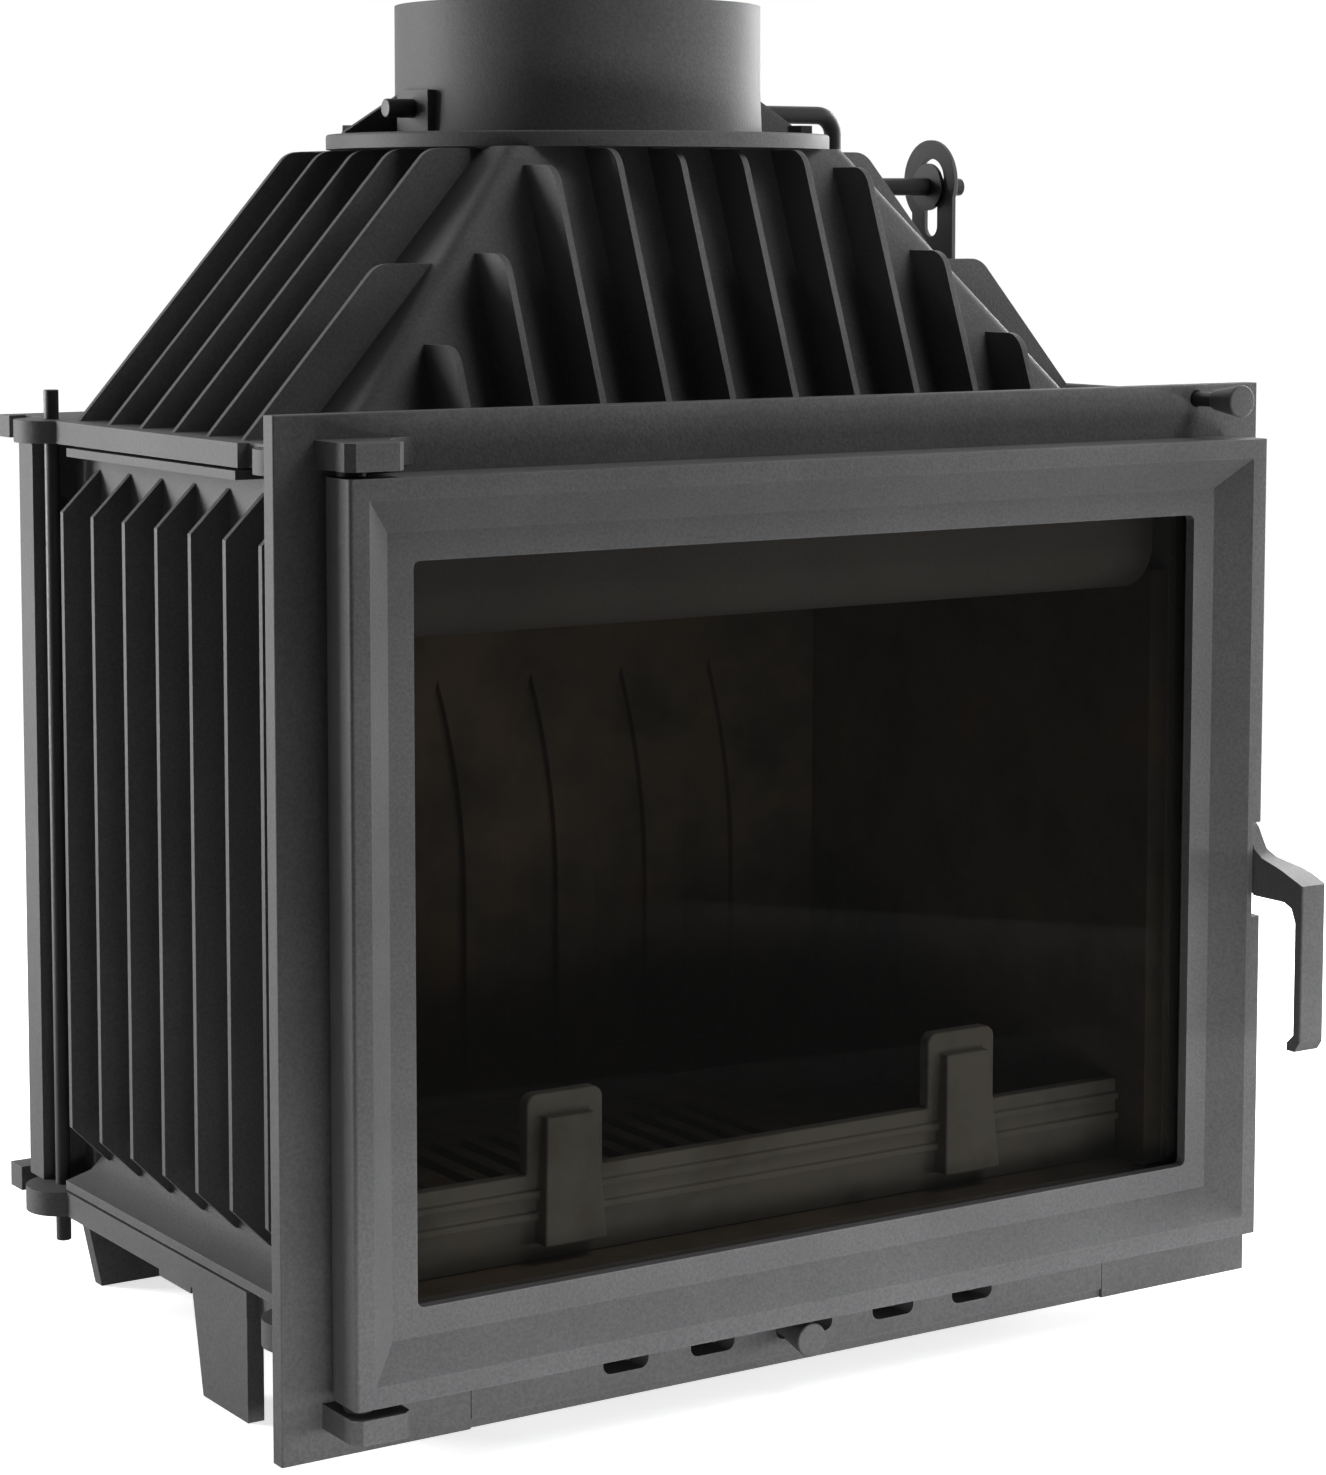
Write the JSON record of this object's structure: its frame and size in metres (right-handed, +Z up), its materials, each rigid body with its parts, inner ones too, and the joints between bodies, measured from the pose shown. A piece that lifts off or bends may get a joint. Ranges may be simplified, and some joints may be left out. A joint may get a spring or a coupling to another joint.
{
  "type": "fireplace insert",
  "caption": "Cast iron fireplace insert with a finned body, glazed side-hinged door, lift handle, flue collar with pull-rod damper and a sliding air control.",
  "frame": {"origin": "on the floor under the middle of the overall box, x = 0 on the mid-width plane", "axes": "+Z up, the door faces -Y, +X to the handle side"},
  "size_m": [0.594, 0.45, 0.701],
  "materials": {
    "castings": "matt heat-resistant paint on fine sand-cast texture",
    "fire_side": "matt, slightly sooty",
    "controls": "satin heat-resistant paint",
    "steel_fittings": "blackened steel",
    "steel_sheet": "matt black painted sheet",
    "glass": "clear ceramic glass",
    "rope": "woven glass rope"
  },
  "bodies": {
    "stove": {"front_plate": "castings", "hinge_pins": "steel_fittings", "hinge_spacers": "steel_fittings", "plate_bolts": "steel_fittings", "latch_keeper": "steel_sheet", "keeper_screws": "steel_fittings", "air_panel": "castings", "panel_screws": "steel_fittings", "base_casting": "castings", "tie_rods": "steel_fittings", "side_casting_left": "castings", "side_casting_right": "castings", "rear_casting": "castings", "back_bolts": "steel_fittings", "hood_casting": "castings", "flue_collar": "castings", "collar_bolts": "steel_fittings", "rod_guide": "steel_sheet", "guide_screw": "steel_fittings", "air_box": "steel_sheet", "box_screws": "steel_fittings", "ash_pan": "steel_sheet", "hearth_plate": "fire_side", "grate": "fire_side", "side_liner_left": "fire_side", "side_liner_right": "fire_side", "back_liner": "fire_side", "baffle_plate": "steel_sheet", "air_deflector": "steel_sheet", "deflector_screws": "steel_fittings", "log_fence": "fire_side"},
    "door": {"door_frame": "castings", "door_rope": "rope", "door_glass": "glass", "glass_tape": "rope", "glass_clips": "steel_sheet", "clip_screws": "steel_fittings"},
    "handle": {"handle": "controls", "handle_pin": "steel_fittings", "latch_tongue": "steel_sheet"},
    "damper": {"damper_blade": "steel_sheet", "blade_screws": "steel_fittings", "damper_rod": "steel_fittings", "crank_washer": "steel_fittings"},
    "damper_pull": {"damper_lever": "steel_sheet", "pull_rod": "steel_fittings", "damper_knob": "controls"},
    "air_slide": {"air_shutter": "steel_sheet", "air_knob": "controls"}
  },
  "joints": [
    {"name": "door_hinge", "type": "hinge", "parent": "stove", "child": "door", "pos_m": [-0.266, -0.17105, 0.25575], "axis": [0, 0, -1], "range_deg": [0, 110]},
    {"name": "handle_lift", "type": "hinge", "parent": "door", "child": "handle", "pos_m": [0.2745, -0.17455, 0.256], "axis": [-1, 0, 0], "range_deg": [0, 45]},
    {"name": "damper_slide", "type": "slide", "parent": "stove", "child": "damper_pull", "axis": [0, -1, 0], "range_m": [-0.014, 0.0264]},
    {"name": "damper_turn", "type": "hinge", "parent": "stove", "child": "damper", "pos_m": [0, 0.06315, 0.645], "axis": [-1, 0, 0], "range_deg": [-21.4, 40.2]},
    {"name": "air_slide", "type": "slide", "parent": "stove", "child": "air_slide", "axis": [1, 0, 0], "range_m": [0, 0.0254]}
  ],
  "couplings": [
    {"joint": "damper_turn", "follows": "damper_slide", "rad_per_m": 26.46}
  ]
}
